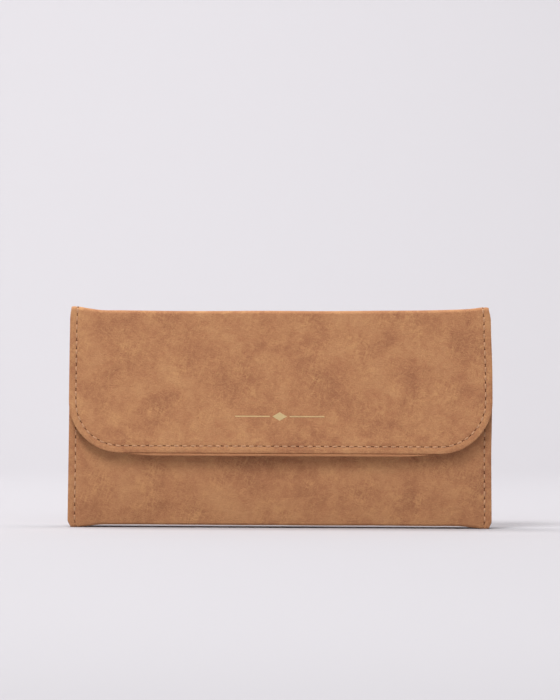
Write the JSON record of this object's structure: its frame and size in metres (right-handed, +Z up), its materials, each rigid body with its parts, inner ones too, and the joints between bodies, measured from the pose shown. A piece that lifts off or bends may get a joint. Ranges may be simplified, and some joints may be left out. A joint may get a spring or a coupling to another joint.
{
  "type": "long wallet",
  "caption": "Long flap wallet standing on its folded base: stitched leather shell, snap flap, zipped coin pocket between two note compartments, card slots.",
  "frame": {"origin": "centre of the wallet's base, on the surface it stands on", "axes": "+X along the width, -Y is the flap side and +Y the back, +Z up"},
  "size_m": [0.195, 0.0258, 0.1015],
  "materials": {
    "nubuck": "mottled tan nubuck, matt",
    "nubuck_inner": "smooth tan leather, matt",
    "lining": "fine tan twill",
    "zip_tape": "woven tape",
    "gold": "pale gold plated, polished",
    "steel": "plain stamped washer, hidden",
    "greyboard": "stiffening board, hidden",
    "foil": "hot-stamped gold foil",
    "thread": "waxed polyester thread"
  },
  "bodies": {
    "back": {"back_outer": "nubuck", "back_board": "greyboard", "back_lining": "lining", "back_stitching": "thread", "base_outer": "nubuck", "base_lining": "lining", "card_panel": "nubuck_inner", "card_ply_1": "nubuck_inner", "card_ply_2": "nubuck_inner", "card_ply_3": "nubuck_inner", "card_ply_4": "nubuck_inner", "card_stitching": "thread", "left_rear_gusset": "lining", "right_rear_gusset": "lining"},
    "spine": {"spine_outer": "nubuck", "spine_lining": "nubuck_inner", "spine_stitching": "thread"},
    "flap": {"flap_outer": "nubuck", "flap_board": "greyboard", "flap_facing": "nubuck_inner", "flap_stitching": "thread", "foil_mark": "foil", "snap_stud": "gold", "stud_washer": "steel"},
    "coin_pocket": {"coin_front_wall": "nubuck_inner", "coin_rear_wall": "nubuck_inner", "coin_base_fold": "nubuck_inner", "coin_left_hem": "nubuck_inner", "coin_right_hem": "nubuck_inner", "coin_stitching": "thread", "zip_front_tape": "zip_tape", "zip_rear_tape": "zip_tape", "zip_front_teeth": "gold", "zip_rear_teeth": "gold", "zip_stops": "gold", "left_front_gusset": "lining", "right_front_gusset": "lining"},
    "front": {"front_outer": "nubuck", "front_board": "greyboard", "front_lining": "lining", "front_stitching": "thread", "slip_pocket": "nubuck_inner", "snap_socket": "gold", "socket_washer": "steel"},
    "slider": {"zip_slider": "gold", "slider_pin": "gold"},
    "pull": {"zip_pull": "gold"}
  },
  "joints": [
    {"name": "spine_fold", "type": "hinge", "parent": "back", "child": "spine", "pos_m": [0, 0.0119, 0.1005], "axis": [-1, 0, 0], "range_deg": [0, 110]},
    {"name": "flap_fold", "type": "hinge", "parent": "spine", "child": "flap", "pos_m": [0, -0.0119, 0.1005], "axis": [-1, 0, 0], "range_deg": [0, 90]},
    {"name": "coin_tilt", "type": "hinge", "parent": "back", "child": "coin_pocket", "pos_m": [0, -0.0075, 0.0008], "axis": [1, 0, 0], "range_deg": [0, 5.4], "deforming": ["left_rear_gusset", "right_rear_gusset"]},
    {"name": "front_tilt", "type": "hinge", "parent": "coin_pocket", "child": "front", "pos_m": [0, -0.0075, 0.0008], "axis": [1, 0, 0], "range_deg": [0, 5.4], "deforming": ["left_front_gusset", "right_front_gusset"]},
    {"name": "zip_travel", "type": "slide", "parent": "coin_pocket", "child": "slider", "axis": [-1, 0, 0], "range_m": [0, 0.155]},
    {"name": "pull_swing", "type": "hinge", "parent": "slider", "child": "pull", "pos_m": [0.0775, 0.001, 0.0804], "axis": [0, 1, 0], "range_deg": [0, 180]}
  ],
  "couplings": [
    {"joint": "coin_tilt", "follows": "flap_fold", "ratio": 0.06},
    {"joint": "front_tilt", "follows": "flap_fold", "ratio": 0.06}
  ]
}
